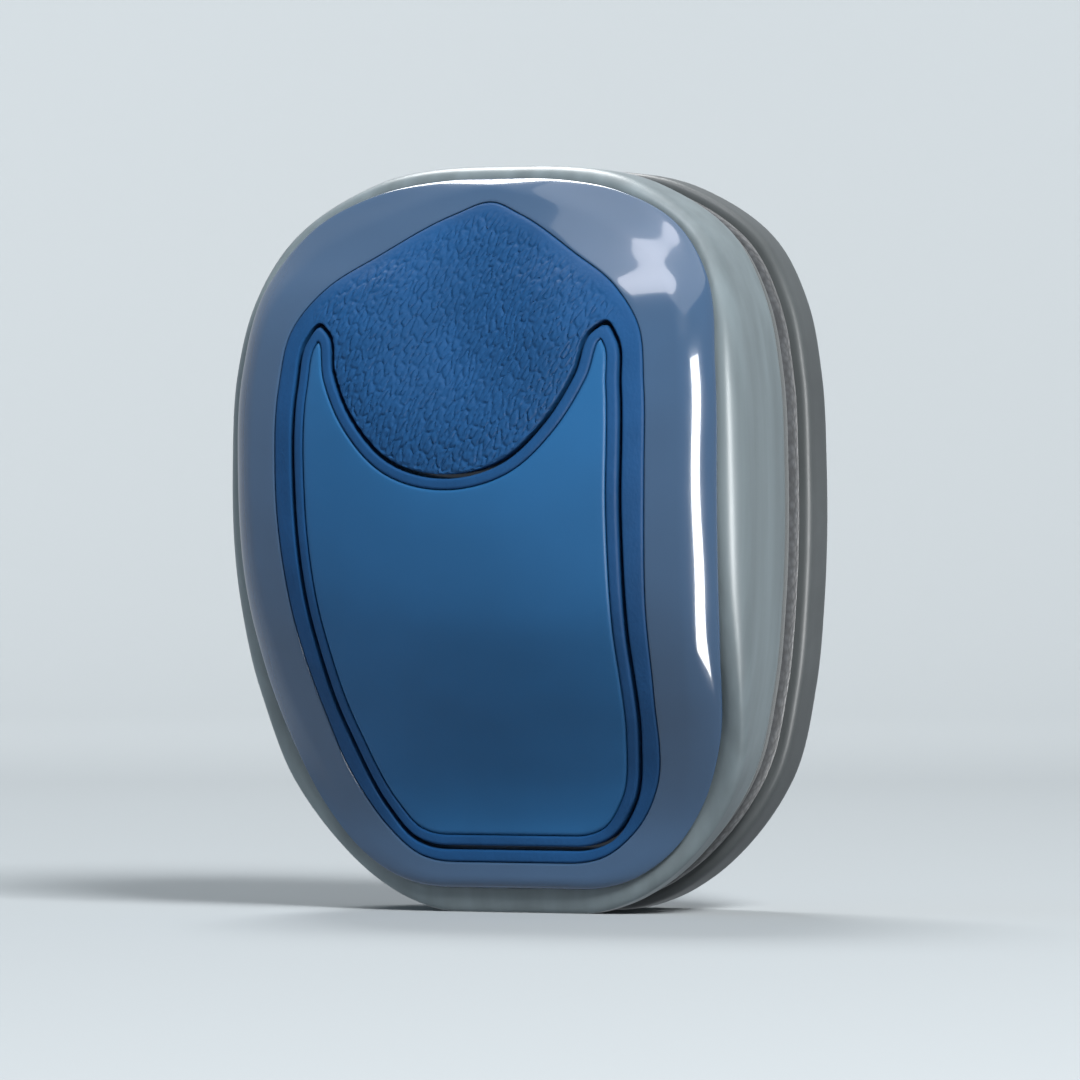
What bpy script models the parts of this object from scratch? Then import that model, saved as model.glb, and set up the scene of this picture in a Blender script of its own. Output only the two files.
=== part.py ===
"""Magnetic glass cleaner for an aquarium, in metres, standing upright on its tail.

+Z is up, the palm grip faces -Y and the tank-side half is behind it at +Y. The cleaner has two
halves that hold on to each other by magnets, with the pane of glass between their pads:

  outer_half  slate cover with a blue grip inlay, grey skirt, base plate, magnets, felt pad
  inner_half  dark casing with a ribbed grip, base plate, magnets, floats, scrubbing pad

A point of a half is given by its plan place (x, z) and its rise, the distance from the face of
that half's pad, which is 0, to the outside, along -Y for the outer half and +Y for the inner one.
"""

import math

import bmesh
import bpy
import numpy as np
from mathutils import Vector
from mathutils.geometry import delaunay_2d_cdt

MM = 0.001

# Driving dimensions of the whole.
OUTER_THICKNESS = 24.2 * MM
INNER_THICKNESS = 10.6 * MM
PAD_GAP = 2.1 * MM  # between the two pads, whose pile fills it
DEPTH = OUTER_THICKNESS + PAD_GAP + INNER_THICKNESS
OUTER_FACE_Y = -DEPTH / 2 + OUTER_THICKNESS
INNER_FACE_Y = OUTER_FACE_Y + PAD_GAP
MIDDLE_Z = 38.0 * MM  # height that the rings of every round-edged piece are counted about

CLEARANCE = 0.3 * MM
FILM_GAP = 0.1 * MM
SIDES = 72  # points round an outline

# Half outlines, as (half width, height) in mm from the middle of the foot to the top.
CASING = (
    (6.8, 0), (11.5, 1.1), (15.3, 3.2), (19.8, 7.3), (23.8, 13.3), (26, 22), (26.9, 31),
    (27.1, 44), (26.6, 53), (25.2, 60), (22.3, 65.8), (14, 71.5), (0, 73.2),
)
COVER = (
    (7, 2.4), (12.3, 3.4), (16, 5.7), (19.8, 10.3), (22.6, 16.8), (24.3, 26.5),
    (25.1, 42), (24.8, 53), (23.1, 61.8), (19, 67.3), (13, 70.4), (6.5, 71.7), (0, 71.9),
)
INLAY = (
    (6, 5), (9.6, 5.6), (13, 8.2), (16, 13), (17.6, 21), (18.6, 30.5), (19.3, 43),
    (19.1, 51.5), (18.1, 57.2), (15.2, 61), (10.3, 64.3), (3.4, 68.3), (0, 69.5),
)
PANEL = (
    (6.9, 6.2), (10.4, 7.1), (13.2, 10.4), (15.5, 17.5), (16.65, 28), (17.2, 40), (17.1, 51.5),
    (16.4, 56.1), (15, 57.7), (13.6, 56.8), (12.3, 52.6), (9.7, 48), (5.9, 44.4), (0, 42.9),
)
INNER_GRIP = ((9, 13), (14.5, 19), (17.6, 30), (18.2, 42), (16.5, 53), (11, 60), (0, 62.5))

# Rise of the cover along its middle, and of the line where it meets the skirt, against height, in mm.
CREST = (
    (0, 7.4), (5.4, 7.3), (8.5, 7.6), (12, 9), (16.6, 12.1), (22.5, 16.6), (29.4, 21), (37, 23.5),
    (44.4, 24.2), (52.4, 23.4), (57, 22), (61, 19.6), (64, 17), (67, 14.6), (70, 12.3), (73.2, 10.4),
)
SHOULDER = (
    (0, 5.6), (8, 5.9), (17, 8.4), (25, 12.1), (31.5, 14.3), (45, 15.6), (53, 15.2), (59.5, 13.6),
    (64.5, 11.8), (73.2, 9),
)
CROWN_RADIUS = 54 * MM  # across the cover at its highest point
DISH_Z = 57 * MM  # middle of the shallow dish that the thumb rests in
DISH_HALF_SIZE = (11.5 * MM, 12 * MM)
DISH_DEPTH = 2.8 * MM
ROUNDED_SHARE = 0.5  # of the cover's rim that curves down to the skirt
SKIRT_ROUNDED_SHARE = 0.25  # of the skirt's depth that curves in to the cover

COVER_WALL = 1.3 * MM
INLAY_THICKNESS = 1.3 * MM
INLAY_SPACING = (3 * MM, 3 * MM)  # of the points across the inlay
BED_DEPTH = 2.0 * MM  # of the bed in a casing that an inlay lies in
BEAD_WIDTH = 0.9 * MM
PANEL_POINTS = 160  # round the panel and its bead
SKIRT_LEDGE = 0.9 * MM  # of the skirt that reaches in under the cover
CASING_EDGE = 0.8 * MM  # radius of the casings' edges on the glass side
SHARP_ANGLE = 35  # degrees between faces from which an edge is drawn sharp

# The layers of each half, by the rise of each one's face towards the glass.
FELT_THICKNESS = 2.0 * MM
ADHESIVE_THICKNESS = 0.2 * MM
OUTER_BASE_START = FELT_THICKNESS + ADHESIVE_THICKNESS + 2 * FILM_GAP
SCRUB_THICKNESS = 1.6 * MM
HOOK_THICKNESS = 0.4 * MM
INNER_BASE_START = SCRUB_THICKNESS + HOOK_THICKNESS + 2 * FILM_GAP
BASE_THICKNESS = 1.2 * MM
PAD_INSET = 0.9 * MM  # of the pads' edges from the casings' outline
FILM_INSET = 1.6 * MM

MAGNET_SIZE = (12.0 * MM, 26.0 * MM)
MAGNET_OFFSET = 7.4 * MM  # of each magnet's middle from the middle plane
MAGNET_Z = 39.0 * MM
OUTER_MAGNET_THICKNESS = 5.0 * MM
INNER_MAGNET_THICKNESS = 2.0 * MM
KEEPER_SIZE = (27.6 * MM, 26.8 * MM)
OUTER_KEEPER_THICKNESS = 1.2 * MM
INNER_KEEPER_THICKNESS = 0.6 * MM
FRAME_SIZE = (32.0 * MM, 31.0 * MM)
FRAME_SHARE = 0.8  # of the magnets' thickness that their frame has

SCREW_PLACES = ((0, 62.5 * MM), (-13.5 * MM, 17.5 * MM), (13.5 * MM, 17.5 * MM))
SCREW_HEAD_RADIUS = 1.9 * MM
SCREW_SHANK_RADIUS = 0.9 * MM
SCREW_HEAD_DEPTH = 1.0 * MM
SCREW_SOCKET_RADIUS = 0.7 * MM
BOSS_RADIUS = 2.6 * MM
OUTER_SCREW_LENGTH = 2.4 * MM
INNER_SCREW_LENGTH = 2.6 * MM

RIB_COUNT = 5
RIB_HEIGHT = 0.55 * MM
RIB_PITCH = 6.4 * MM
RIB_HALF_LENGTH = 13.5 * MM
RIB_FADE = 3.0 * MM  # over which each rib's ends run out
INNER_EDGE_RADIUS = 3.6 * MM
INNER_BULGE = 0.9 * MM  # how far the middle of the inner casing's back stands past its corners
INNER_WALL = 1.4 * MM
BACK_HALF_SIZE = (27 * MM, 37 * MM)
GASKET_THICKNESS = 0.8 * MM
GASKET_WIDTH = 1.3 * MM
FLOAT_THICKNESS = 2.6 * MM
UPPER_FLOAT = ((0, 56.6 * MM), (26 * MM, 3.0 * MM))  # middle and size
LOWER_FLOAT = ((0, 17.5 * MM), (18 * MM, 10.0 * MM))


def clear_scene():
    """Remove every object there is."""
    for item in list(bpy.data.objects):
        bpy.data.objects.remove(item, do_unlink=True)


# Curves


def hermite(knots, values, slopes, at):
    """The smooth curve through values at knots, with the given slopes, at each place."""
    at = np.clip(at, knots[0], knots[-1])
    i = np.clip(np.searchsorted(knots, at, side="right") - 1, 0, len(knots) - 2)
    width = knots[i + 1] - knots[i]
    t = (at - knots[i]) / width
    if values.ndim == 2:
        t, width = t[:, None], width[:, None]
    return (
        (1 + 2 * t) * (1 - t) ** 2 * values[i]
        + t * (1 - t) ** 2 * width * slopes[i]
        + t**2 * (3 - 2 * t) * values[i + 1]
        - t**2 * (1 - t) * width * slopes[i + 1]
    )


def profile(table, at):
    """A smooth value against height, from a table in mm."""
    knots, values = (np.array(column, float) * MM for column in zip(*table))
    return hermite(knots, values, np.gradient(values, knots), np.asarray(at, float))


def half_curve(table, steps=240):
    """The right half of an outline in metres, level at both ends, from the foot to the top."""
    points = np.array(table, float) * MM
    along = np.concatenate([[0], np.cumsum(np.linalg.norm(np.diff(points, axis=0), axis=1))])
    slopes = np.gradient(points, along, axis=0)
    slopes[0] = (1, 0)
    slopes[-1] = (-1, 0)
    return hermite(along, points, slopes, np.linspace(0, along[-1], steps))


def whole_curve(table):
    """The closed outline, anticlockwise from the right end of the foot, without a repeated point."""
    right = half_curve(table)
    left = right[::-1] * (-1, 1)
    return np.concatenate([right, left[1:]])


def even_outline(table, count):
    """An outline as points evenly spaced along it."""
    curve = whole_curve(table)
    closed = np.concatenate([curve, curve[:1]])
    along = np.concatenate([[0], np.cumsum(np.linalg.norm(np.diff(closed, axis=0), axis=1))])
    at = np.arange(count) * along[-1] / count
    return np.stack([np.interp(at, along, closed[:, k]) for k in (0, 1)], axis=1)


def ray_outline(table, count=SIDES):
    """An outline as the points where evenly turned rays from the middle meet it."""
    curve = whole_curve(table) - (0, MIDDLE_Z)
    closed = np.concatenate([curve, curve[:1]])
    turns = np.unwrap(np.arctan2(closed[:, 1], closed[:, 0]))
    wanted = (math.ceil(turns[0] * count / math.tau) + np.arange(count)) * math.tau / count
    i = np.minimum(np.searchsorted(turns, wanted, side="right") - 1, len(curve) - 1)
    start, step = closed[i], closed[i + 1] - closed[i]
    ray = np.stack([np.cos(wanted), np.sin(wanted)], axis=1)
    reach = start[:, 1] * ray[:, 0] - start[:, 0] * ray[:, 1]
    share = reach / (step[:, 0] * ray[:, 1] - step[:, 1] * ray[:, 0])
    return start + step * share[:, None] + (0, MIDDLE_Z)


def inset(outline, width):
    """A closed outline moved inwards by width, or outwards where width is negative."""
    ahead = np.roll(outline, -1, axis=0) - outline
    behind = outline - np.roll(outline, 1, axis=0)
    ahead /= np.linalg.norm(ahead, axis=1, keepdims=True)
    behind /= np.linalg.norm(behind, axis=1, keepdims=True)
    normal = np.stack([-(ahead + behind)[:, 1], (ahead + behind)[:, 0]], axis=1)
    normal /= np.linalg.norm(normal, axis=1, keepdims=True)
    return outline + normal * width


def pointed_inset(outline, width):
    """An inset that stays whole at corners tighter than its width, without points that cross over."""
    moved = inset(outline, width)
    start, step = outline, np.roll(outline, -1, axis=0) - outline
    offset = moved[:, None] - start[None]
    share = np.clip((offset * step).sum(axis=2) / (step**2).sum(axis=1), 0, 1)
    room = np.linalg.norm(offset - share[..., None] * step, axis=2).min(axis=1)
    return moved[room > 0.97 * width]


def circle(centre, radius, count=16):
    turns = np.arange(count) * math.tau / count
    return np.stack([centre[0] + radius * np.cos(turns), centre[1] + radius * np.sin(turns)], axis=1)


def rectangle(centre, size):
    across, up = size[0] / 2, size[1] / 2
    corners = ((-across, -up), (across, -up), (across, up), (-across, up))
    return np.array([(centre[0] + x, centre[1] + z) for x, z in corners])


# Surfaces, as rise over the plan


def front(plan):
    """The outside of the cover and its inlay, before the rim curves down."""
    crest = profile(CREST, plan[:, 1])
    crown = plan[:, 0] ** 2 / (2 * CROWN_RADIUS) * crest / OUTER_THICKNESS
    away = np.minimum(np.linalg.norm((plan - (0, DISH_Z)) / DISH_HALF_SIZE, axis=1), 1)
    return crest - crown - DISH_DEPTH * (1 + np.cos(math.pi * away)) / 2


def inlay_back(plan):
    """The underside of the inlay, which keeps clear of its bed."""
    return front(plan) - INLAY_THICKNESS


def shoulder(plan):
    """The line where the cover meets the skirt."""
    return profile(SHOULDER, plan[:, 1])


def inner_back(plan):
    """The outside of the inner casing between its rounded edges."""
    fall = (((plan - (0, MIDDLE_Z)) / BACK_HALF_SIZE) ** 2).sum(axis=1) / 2
    return INNER_THICKNESS - RIB_HEIGHT - INNER_BULGE * fall


def lift(plan, rise):
    """Plan points with their rise, which may be one number for all."""
    return np.column_stack([plan, np.broadcast_to(rise, len(plan))])


def toward_middle(plan, share):
    """Plan points moved towards the middle, to share of their distance."""
    middle = np.array([0, MIDDLE_Z])
    return middle + (plan - middle) * share


# Building


class Half:
    """One half of the cleaner: its empty, and which way its rise runs."""

    def __init__(self, name, face_y, outward):
        self.outward = outward
        self.empty = bpy.data.objects.new(name, None)
        self.empty.location = (0, face_y, 0)
        bpy.context.scene.collection.objects.link(self.empty)

    def add(self, name, points, faces, material, smooth=True):
        """A named closed solid of this half, from plan points with their rise."""
        mesh = bpy.data.meshes.new(name)
        mesh.from_pydata([(x, self.outward * rise, z) for x, z, rise in points], [], faces)
        work = bmesh.new()
        work.from_mesh(mesh)
        bmesh.ops.recalc_face_normals(work, faces=work.faces[:])
        work.to_mesh(mesh)
        work.free()
        if smooth:
            mesh.shade_smooth()
            mesh.set_sharp_from_angle(angle=math.radians(SHARP_ANGLE))
        mesh.materials.append(material)
        piece = bpy.data.objects.new(name, mesh)
        piece.parent = self.empty
        bpy.context.scene.collection.objects.link(piece)
        return piece


def finish(name, colour, roughness, metallic=0.0):
    """A plain material."""
    material = bpy.data.materials.new(name)
    material.use_nodes = True
    shader = material.node_tree.nodes["Principled BSDF"]
    shader.inputs["Base Color"].default_value = (*colour, 1)
    shader.inputs["Roughness"].default_value = roughness
    shader.inputs["Metallic"].default_value = metallic
    return material


def loft(rings, cycle=False):
    """Points and faces that join rings in turn. A ring of one point is the tip of a fan."""
    starts = np.cumsum([0] + [len(ring) for ring in rings])
    faces = []
    pairs = list(zip(range(len(rings) - 1), range(1, len(rings))))
    if cycle:
        pairs.append((len(rings) - 1, 0))
    for a, b in pairs:
        count = max(len(rings[a]), len(rings[b]))
        for k in range(count):
            here, there = (k, (k + 1) % count)
            corners = [starts[a] + here % len(rings[a]), starts[a] + there % len(rings[a]),
                       starts[b] + there % len(rings[b]), starts[b] + here % len(rings[b])]
            faces.append(list(dict.fromkeys(int(c) for c in corners)))
    return np.concatenate(rings), faces


def inside(points, loop):
    """Which points lie inside a closed loop."""
    result = np.zeros(len(points), bool)
    for start, end in zip(loop, np.roll(loop, -1, axis=0)):
        crosses = (start[1] > points[:, 1]) != (end[1] > points[:, 1])
        if start[1] != end[1]:
            at = start[0] + (points[:, 1] - start[1]) * (end[0] - start[0]) / (end[1] - start[1])
            result ^= crosses & (points[:, 0] < at)
    return result


def lattice(loops, across, up):
    """Points in rows inside the first loop, outside the others, and clear of all their points."""
    low, high = loops[0].min(axis=0), loops[0].max(axis=0)
    rows = np.arange(math.ceil(low[1] / up), math.floor(high[1] / up) + 1) * up
    columns = np.arange(math.ceil(low[0] / across), math.floor(high[0] / across) + 1) * across
    grid = np.array([(x + (k % 2) * across / 2, z) for k, z in enumerate(rows) for x in columns])
    keep = inside(grid, loops[0])
    for hole in loops[1:]:
        keep &= ~inside(grid, hole)
    edge = np.concatenate(loops)
    room = 0.45 * min(across, up)
    near = np.min(np.linalg.norm(grid[:, None] - edge[None], axis=2), axis=1)
    return grid[keep & (near > room)]


def slab(loops, top, bottom, spacing=None):
    """Points and faces of a plate with a closed outline and holes, between two rises over the plan."""
    plan = np.concatenate([*loops, lattice(loops, *spacing)] if spacing else loops)
    edges, start = [], 0
    for loop in loops:
        edges += [(start + k, start + (k + 1) % len(loop)) for k in range(len(loop))]
        start += len(loop)
    # The triangulation works in mm, where its tolerance is small against the shape.
    found = delaunay_2d_cdt([Vector(p / MM) for p in plan], edges, [], 0, 1e-6)
    plan = np.array([tuple(p) for p in found[0]]) * MM
    triangles = np.array(found[2])
    middles = plan[triangles].mean(axis=1)
    keep = inside(middles, loops[0])
    for hole in loops[1:]:
        keep &= ~inside(middles, hole)
    triangles = triangles[keep]
    ends = np.concatenate([triangles[:, [0, 1]], triangles[:, [1, 2]], triangles[:, [2, 0]]])
    used = {tuple(pair) for pair in ends.tolist()}
    rim = sorted(pair for pair in used if pair[::-1] not in used)
    count = len(plan)
    points = np.concatenate([lift(plan, top(plan)), lift(plan, bottom(plan))])
    faces = triangles.tolist() + (triangles[:, ::-1] + count).tolist()
    faces += [[b, a, a + count, b + count] for a, b in rim]
    touched = sorted({i for face in faces for i in face})
    renumber = {old: new for new, old in enumerate(touched)}
    return points[touched], [[renumber[i] for i in face] for face in faces]


def level(rise):
    """A flat face at one rise."""
    return lambda plan: np.full(len(plan), rise)


def turned(centre, stations, count=16):
    """Points and faces of a turned solid about an axis along the rise, from (radius, rise) stations."""
    rings = []
    for radius, rise in stations:
        plan = circle(centre, radius, count) if radius > 0 else np.array([centre])
        rings.append(lift(plan, rise))
    return loft(rings)


def cut(piece, tools, operation):
    """Join or cut a piece with tool solids, which stay as hidden guides."""
    for tool in tools:
        tool.hide_render = True
        tool.display_type = "WIRE"
        modifier = piece.modifiers.new(tool.name, "BOOLEAN")
        modifier.object = tool
        modifier.operation = operation
        modifier.solver = "MANIFOLD"


def add_bosses(half, shell, name, base_start, screw_length, reach, material):
    """Screw posts inside a casing, each with a blind bore, from above the base plate to mid-wall."""
    base_top = base_start + BASE_THICKNESS
    bore_end = base_start + SCREW_HEAD_DEPTH + screw_length + CLEARANCE
    for number, place in enumerate(SCREW_PLACES, 1):
        post = slab([circle(place, BOSS_RADIUS)], reach, level(base_top + CLEARANCE))
        bore = slab([circle(place, SCREW_SHANK_RADIUS + CLEARANCE)], level(bore_end), level(base_top))
        cut(shell, [half.add(f"{name}_{number}", *post, material)], "UNION")
        cut(shell, [half.add(f"{name}_bore_{number}", *bore, material)], "DIFFERENCE")


# The outer half


def outer_shell(half, material):
    """The slate cover: a rounded wedge with a sunk bed for the inlay, hollow towards the glass."""
    rim, bed = ray_outline(COVER), inset(ray_outline(INLAY), -CLEARANCE / 2)
    edge = shoulder(rim) + CLEARANCE
    rings = [lift(rim, edge)]
    for share in (0.03, 0.1, 0.2, 0.33, 0.5, 1.0):
        plan = rim + (bed - rim) * share
        turn = 1 - min(share / ROUNDED_SHARE, 1)
        rings.append(lift(plan, edge + (front(plan) - edge) * math.sqrt(1 - turn**2)))
    for share in (1.0, 0.9, 0.78, 0.66, 0.54, 0.42, 0.3, 0.15):
        plan = toward_middle(bed, share)
        rings.append(lift(plan, front(plan) - BED_DEPTH))
    middle = np.array([[0, MIDDLE_Z]])
    rings.append(lift(middle, front(middle) - BED_DEPTH))
    rings.append(lift(middle, front(middle) - BED_DEPTH - COVER_WALL))
    for share in (0.2, 0.4, 0.6, 0.8, 0.95):
        plan = toward_middle(bed, share)
        rings.append(lift(plan, front(plan) - BED_DEPTH - COVER_WALL))
    rings.append(lift(inset(rim, COVER_WALL), edge))
    shell = half.add("outer_shell", *loft(rings, cycle=True), material)

    def mid_wall(plan):
        return front(plan) - BED_DEPTH - COVER_WALL / 2

    add_bosses(half, shell, "boss", OUTER_BASE_START, OUTER_SCREW_LENGTH, mid_wall, material)
    return shell


def outer_skirt(half, material):
    """The light side band, rounded in to the cover along its shoulder, with a flat foot."""
    outside, cover = ray_outline(CASING), ray_outline(COVER)
    within, top = inset(cover, SKIRT_LEDGE), shoulder(cover)
    depth = (top - OUTER_BASE_START) * SKIRT_ROUNDED_SHARE
    rings = [
        lift(within, OUTER_BASE_START),
        lift(inset(outside, CASING_EDGE), OUTER_BASE_START),
        lift(outside, OUTER_BASE_START + CASING_EDGE),
    ]
    for turn in np.radians((0, 30, 60, 90)):
        plan = cover + (outside - cover) * math.cos(turn)
        rings.append(lift(plan, top - depth * (1 - math.sin(turn))))
    rings.append(lift(within, top))
    return half.add("outer_skirt", *loft(rings, cycle=True), material)


def grip_surround(half, material):
    """The soft inlay round the palm panel."""
    edge = inset(ray_outline(INLAY), CLEARANCE / 2)
    hole = even_outline(PANEL, PANEL_POINTS)
    return half.add("grip_surround", *slab([edge, hole], front, inlay_back, INLAY_SPACING), material)


def panel_bead(half, material):
    """The thin raised line round the panel, with a groove on each side of it."""
    line = even_outline(PANEL, PANEL_POINTS)
    loops = [pointed_inset(line, CLEARANCE), pointed_inset(line, CLEARANCE + BEAD_WIDTH)]
    return half.add("panel_bead", *slab(loops, front, inlay_back), material)


def palm_panel(half, material):
    """The smooth horned panel that the palm rests on."""
    edge = pointed_inset(even_outline(PANEL, PANEL_POINTS), 2 * CLEARANCE + BEAD_WIDTH)
    return half.add("palm_panel", *slab([edge], front, inlay_back, INLAY_SPACING), material)


def base_plate(half, name, edge, start, material):
    """The plate that closes a half, with a hole for each screw."""
    holes = [circle(place, SCREW_HEAD_RADIUS + CLEARANCE) for place in SCREW_PLACES]
    return half.add(name, *slab([edge, *holes], level(start + BASE_THICKNESS), level(start)), material)


def layer(half, name, edge, start, thickness, material):
    """A flat layer of one thickness: a pad, or the film or tape that holds it."""
    return half.add(name, *slab([edge], level(start + thickness), level(start)), material)


def block(half, name, centre, size, start, thickness, material):
    """A plain rectangular block."""
    shape = slab([rectangle(centre, size)], level(start + thickness), level(start))
    return half.add(name, *shape, material, smooth=False)


def magnet_stack(half, label, start, thickness, keeper, steel, ferrite, plastic):
    """Two magnets side by side in their frame, and the steel plate that closes their field."""
    for side, name in ((-1, "left"), (1, "right")):
        centre = (side * MAGNET_OFFSET, MAGNET_Z)
        block(half, f"{label}_magnet_{name}", centre, MAGNET_SIZE, start, thickness, ferrite)
    clear = [size + 2 * CLEARANCE for size in MAGNET_SIZE]
    windows = [rectangle((side * MAGNET_OFFSET, MAGNET_Z), clear) for side in (-1, 1)]
    frame = [rectangle((0, MAGNET_Z), FRAME_SIZE), *windows]
    shape = slab(frame, level(start + thickness * FRAME_SHARE), level(start))
    half.add(f"{label}_magnet_frame", *shape, plastic, smooth=False)
    keeper_start = start + thickness + FILM_GAP
    block(half, f"{label}_keeper_plate", (0, MAGNET_Z), KEEPER_SIZE, keeper_start, keeper, steel)


def screws(half, label, base_start, length, material):
    """A countersunk screw with a round socket at each screw place."""
    head, socket = base_start + SCREW_HEAD_DEPTH, base_start + SCREW_HEAD_DEPTH * 0.6
    tip = head + length
    for number, place in enumerate(SCREW_PLACES, 1):
        stations = (
            (0, socket), (SCREW_SOCKET_RADIUS, socket), (SCREW_SOCKET_RADIUS, base_start),
            (SCREW_HEAD_RADIUS, base_start), (SCREW_HEAD_RADIUS, base_start + SCREW_HEAD_DEPTH * 0.2),
            (SCREW_SHANK_RADIUS, head), (SCREW_SHANK_RADIUS, tip - SCREW_SHANK_RADIUS), (0, tip),
        )
        half.add(f"{label}_screw_{number}", *turned(place, stations), material)


# The inner half


def inner_shell(half, material):
    """The dark tank-side casing, with a bed for its grip and a flat foot."""
    outside = ray_outline(CASING)
    bed = inset(ray_outline(INNER_GRIP), -CLEARANCE / 2)
    within = inset(ray_outline(COVER), SKIRT_LEDGE)
    radius, top = INNER_EDGE_RADIUS, inner_back(outside)
    rings = [
        lift(inset(outside, CASING_EDGE), INNER_BASE_START),
        lift(outside, INNER_BASE_START + CASING_EDGE),
    ]
    for turn in np.radians((0, 22, 45, 67, 90)):
        plan = inset(outside, radius * (1 - math.cos(turn)))
        rings.append(lift(plan, top - radius * (1 - math.sin(turn))))
    rim = inset(outside, radius)
    for share in (0.5, 1.0):
        plan = rim + (bed - rim) * share
        rings.append(lift(plan, inner_back(plan)))
    for share in (1.0, 0.66, 0.33):
        plan = toward_middle(bed, share)
        rings.append(lift(plan, inner_back(plan) - BED_DEPTH))
    middle = np.array([[0, MIDDLE_Z]])
    rings.append(lift(middle, inner_back(middle) - BED_DEPTH))
    rings.append(lift(middle, inner_back(middle) - BED_DEPTH - INNER_WALL))
    for share in (0.5, 1.0):
        plan = toward_middle(bed, share)
        rings.append(lift(plan, inner_back(plan) - BED_DEPTH - INNER_WALL))
    rings.append(lift(inset(within, INNER_WALL), top - radius * 0.7))
    rings.append(lift(within, top - radius * 1.2))
    rings.append(lift(within, INNER_BASE_START))
    shell = half.add("inner_shell", *loft(rings, cycle=True), material)

    def mid_wall(plan):
        return inner_back(plan) - BED_DEPTH - INNER_WALL / 2

    add_bosses(half, shell, "inner_boss", INNER_BASE_START, INNER_SCREW_LENGTH, mid_wall, material)
    return shell


def ribs(plan):
    """The ribbed outside of the inner grip."""
    place = (plan[:, 1] - MIDDLE_Z) / RIB_PITCH
    wave = np.where(np.abs(place) < RIB_COUNT / 2, 0.5 + 0.5 * np.cos(math.tau * place), 0)
    fade = np.clip((RIB_HALF_LENGTH - np.abs(plan[:, 0])) / RIB_FADE, 0, 1)
    return inner_back(plan) + RIB_HEIGHT * wave * fade


def inner_grip(half, material):
    """The ribbed soft grip of the inner half."""
    edge = inset(ray_outline(INNER_GRIP), CLEARANCE / 2)
    spacing = (RIB_FADE * 1.5, RIB_PITCH / 4)
    shape = slab([edge], ribs, lambda plan: inner_back(plan) - INLAY_THICKNESS, spacing)
    return half.add("inner_grip", *shape, material)


def inner_gasket(half, material):
    """The sealing ring that lies on the rim of the inner base plate."""
    outer = inset(ray_outline(COVER), SKIRT_LEDGE + CLEARANCE)
    inner = inset(outer, GASKET_WIDTH)
    start = INNER_BASE_START + BASE_THICKNESS + FILM_GAP
    shape = slab([outer, inner], level(start + GASKET_THICKNESS), level(start))
    return half.add("inner_gasket", *shape, material)


def float_blocks(half, material):
    """The foam blocks above and below the magnets that make the inner half float."""
    start = INNER_BASE_START + BASE_THICKNESS + FILM_GAP
    block(half, "upper_float", *UPPER_FLOAT, start, FLOAT_THICKNESS, material)
    block(half, "lower_float", *LOWER_FLOAT, start, FLOAT_THICKNESS, material)


def main():
    clear_scene()
    slate = finish("slate_gloss", (0.075, 0.125, 0.19), 0.16)
    soft_blue = finish("soft_blue", (0.022, 0.09, 0.25), 0.55)
    smooth_blue = finish("smooth_blue", (0.026, 0.10, 0.27), 0.38)
    pale_grey = finish("pale_grey", (0.27, 0.33, 0.34), 0.3)
    dark_grey = finish("dark_grey", (0.085, 0.095, 0.1), 0.35)
    plate_grey = finish("plate_grey", (0.12, 0.13, 0.14), 0.5)
    ferrite = finish("ferrite", (0.03, 0.03, 0.032), 0.6)
    steel = finish("steel", (0.6, 0.6, 0.62), 0.35, 1.0)
    felt = finish("felt", (0.05, 0.05, 0.055), 0.95)
    scrub = finish("scrub", (0.03, 0.03, 0.035), 0.95)
    film = finish("film", (0.7, 0.7, 0.66), 0.5)
    foam = finish("foam", (0.8, 0.8, 0.76), 0.9)
    rubber = finish("rubber", (0.02, 0.02, 0.02), 0.7)

    plate_edge = inset(ray_outline(COVER), SKIRT_LEDGE + CLEARANCE)
    pad_edge = inset(ray_outline(CASING), PAD_INSET)
    film_edge = inset(ray_outline(CASING), FILM_INSET)

    outer = Half("outer_half", OUTER_FACE_Y, -1)
    outer_shell(outer, slate)
    outer_skirt(outer, pale_grey)
    grip_surround(outer, soft_blue)
    panel_bead(outer, soft_blue)
    palm_panel(outer, smooth_blue)
    base_plate(outer, "outer_base_plate", plate_edge, OUTER_BASE_START, plate_grey)
    magnet_stack(outer, "outer", OUTER_BASE_START + BASE_THICKNESS + FILM_GAP, OUTER_MAGNET_THICKNESS,
                 OUTER_KEEPER_THICKNESS, steel, ferrite, plate_grey)
    screws(outer, "outer", OUTER_BASE_START, OUTER_SCREW_LENGTH, steel)
    layer(outer, "felt_adhesive", film_edge, FELT_THICKNESS + FILM_GAP, ADHESIVE_THICKNESS, film)
    layer(outer, "felt_pad", pad_edge, 0, FELT_THICKNESS, felt)

    inner = Half("inner_half", INNER_FACE_Y, 1)
    inner_shell(inner, dark_grey)
    inner_grip(inner, soft_blue)
    base_plate(inner, "inner_base_plate", plate_edge, INNER_BASE_START, plate_grey)
    inner_gasket(inner, rubber)
    magnet_stack(inner, "inner", INNER_BASE_START + BASE_THICKNESS + FILM_GAP, INNER_MAGNET_THICKNESS,
                 INNER_KEEPER_THICKNESS, steel, ferrite, plate_grey)
    float_blocks(inner, foam)
    screws(inner, "inner", INNER_BASE_START, INNER_SCREW_LENGTH, steel)
    layer(inner, "hook_tape", film_edge, SCRUB_THICKNESS + FILM_GAP, HOOK_THICKNESS, rubber)
    layer(inner, "scrub_pad", pad_edge, 0, SCRUB_THICKNESS, scrub)


main()
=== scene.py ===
"""The finished look of the magnetic glass cleaner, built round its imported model, in metres, +Z up.

The outer half faces -Y and the tank-side half stands behind it. A point of a half is given by its
plan place (x, z) and its rise from the face of that half's pad towards the outside. Every casing,
inlay and pad is lofted or cut here from the same outlines and curves as the model's own nodes.
"""

import math

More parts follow.
